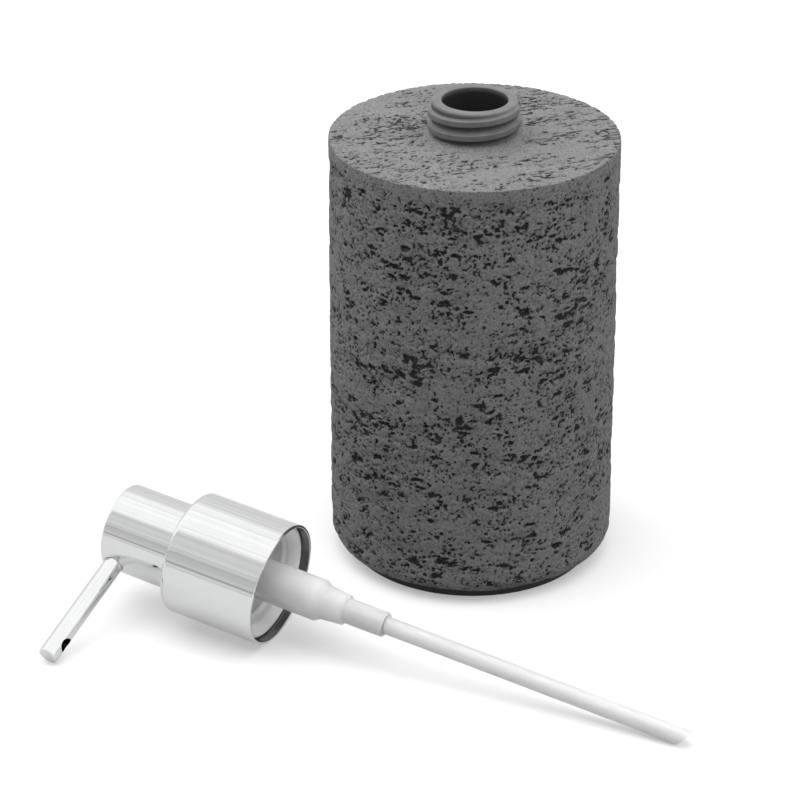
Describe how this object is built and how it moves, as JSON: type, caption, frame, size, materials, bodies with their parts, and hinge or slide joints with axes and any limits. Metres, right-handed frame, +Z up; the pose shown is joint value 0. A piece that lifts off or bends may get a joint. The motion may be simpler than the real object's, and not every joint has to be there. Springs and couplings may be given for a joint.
{
  "type": "soap pump dispenser",
  "caption": "Cylindrical stone-effect soap bottle with a threaded neck, and its chromed press pump with spout, collar and dip tube lying beside it.",
  "frame": {"origin": "centre of the underside of the bottle's anti-slip pad", "axes": "+Z up along the bottle's axis, +X along the lying pump in plan, from its head towards its dip tube"},
  "size_m": [0.1844, 0.1669, 0.1442],
  "materials": {
    "cast_stone": "matte, cast with open pores",
    "dark_plastic": "matte",
    "dark_rubber": "matte",
    "chrome_plate": "mirror-bright plating",
    "white_plastic": "satin moulding",
    "gasket_foam": "matte",
    "frosted_plastic": "frosted, translucent",
    "tube_plastic": "translucent extrusion",
    "spring_steel": "bright drawn steel"
  },
  "bodies": {
    "bottle": {"bottle_body": "cast_stone", "base_plug": "dark_plastic", "anti_slip_pad": "dark_rubber"},
    "pump_body": {"pump_housing": "frosted_plastic", "dip_tube": "tube_plastic", "sealing_gasket": "gasket_foam", "housing_cap": "white_plastic", "ball_retainer": "white_plastic", "return_spring": "spring_steel"},
    "collar": {"collar_shell": "chrome_plate", "collar_insert": "white_plastic"},
    "stem": {"pump_stem": "white_plastic", "stem_valve": "white_plastic"},
    "piston": {"piston_seal": "tube_plastic"},
    "head": {"head_shell": "chrome_plate", "head_core": "white_plastic", "spout_tube": "chrome_plate", "spout_plug": "chrome_plate"},
    "ball": {"inlet_ball": "spring_steel"}
  },
  "joints": [
    {"name": "pump_raise", "type": "hinge", "parent": "bottle", "child": "pump_body", "pos_m": [0.1057, -0.0804, 0.008], "axis": [0, 1, 0], "range_deg": [0, 82.85]},
    {"name": "collar_turn", "type": "hinge", "parent": "pump_body", "child": "collar", "pos_m": [-0.03411, -0.0804, 0.0196], "axis": [-0.9922, 0, 0.1244], "continuous": true},
    {"name": "head_press", "type": "slide", "parent": "pump_body", "child": "stem", "axis": [0.9922, 0, -0.1244], "range_m": [0, 0.012], "stiffness_N_per_m": 450, "springref_m": -0.006, "deforming": ["return_spring"]},
    {"name": "head_swivel", "type": "hinge", "parent": "stem", "child": "head", "pos_m": [-0.06685, -0.0804, 0.02371], "axis": [-0.9922, 0, 0.1244], "continuous": true},
    {"name": "piston_slip", "type": "slide", "parent": "stem", "child": "piston", "axis": [-0.9922, 0, 0.1244], "range_m": [0, 0.0008]},
    {"name": "ball_lift", "type": "slide", "parent": "pump_body", "child": "ball", "axis": [-0.9922, 0, 0.1244], "range_m": [0, 0.0015]}
  ]
}
